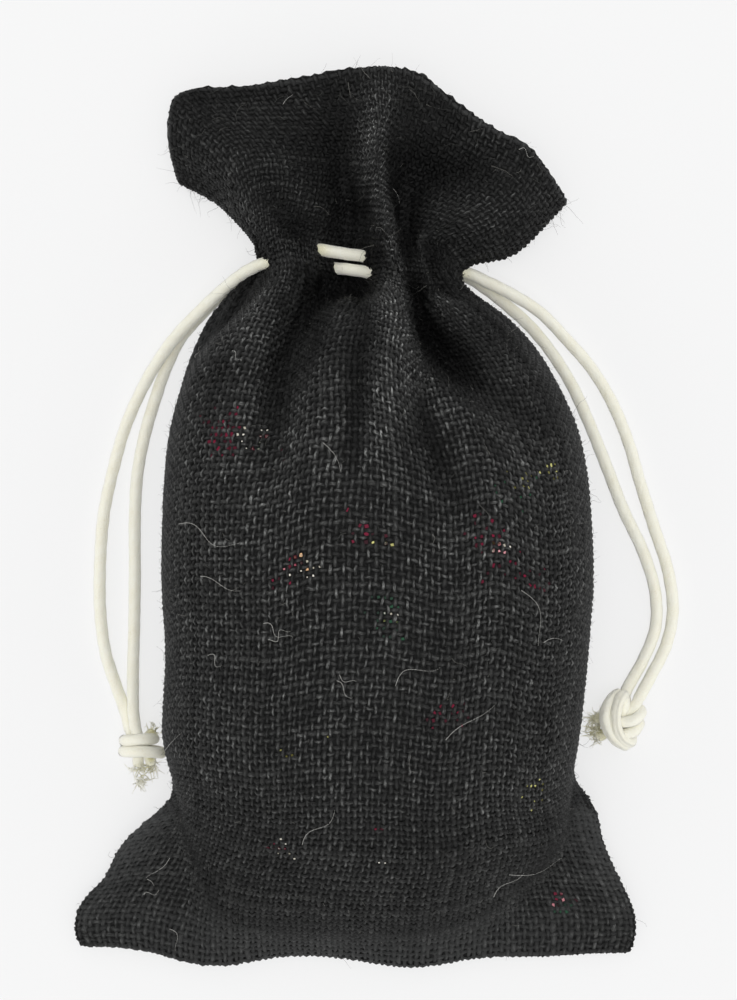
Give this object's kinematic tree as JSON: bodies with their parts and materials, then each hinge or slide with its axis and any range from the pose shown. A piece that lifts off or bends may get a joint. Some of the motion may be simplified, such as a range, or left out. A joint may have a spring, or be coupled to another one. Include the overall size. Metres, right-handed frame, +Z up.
{
  "type": "hessian drawstring sack",
  "caption": "Small filled hessian sack lying on its back, its neck gathered by knotted cotton drawcords below a ruffled open mouth, with flat bottom corners.",
  "frame": {"origin": "the middle of the base of the sack's own box, on the surface that it lies on", "axes": "+Y along the sack towards its mouth, +Z up through the crown of the filling, +X to the right as seen from above"},
  "size_m": [0.1646, 0.2408, 0.0628],
  "materials": {
    "hessian": "black dyed jute hessian, coarse plain weave with a dry, fuzzy surface",
    "cotton": "unbleached twisted cotton cord, matt"
  },
  "bodies": {
    "root": {"sack": "hessian", "drawcord_left_neck": "cotton", "drawcord_right_neck": "cotton", "drawcord_left_outer": "cotton", "drawcord_left_inner": "cotton", "drawcord_right_outer": "cotton", "drawcord_right_inner": "cotton", "knot_left": "cotton", "knot_right": "cotton"}
  },
  "joints": []
}
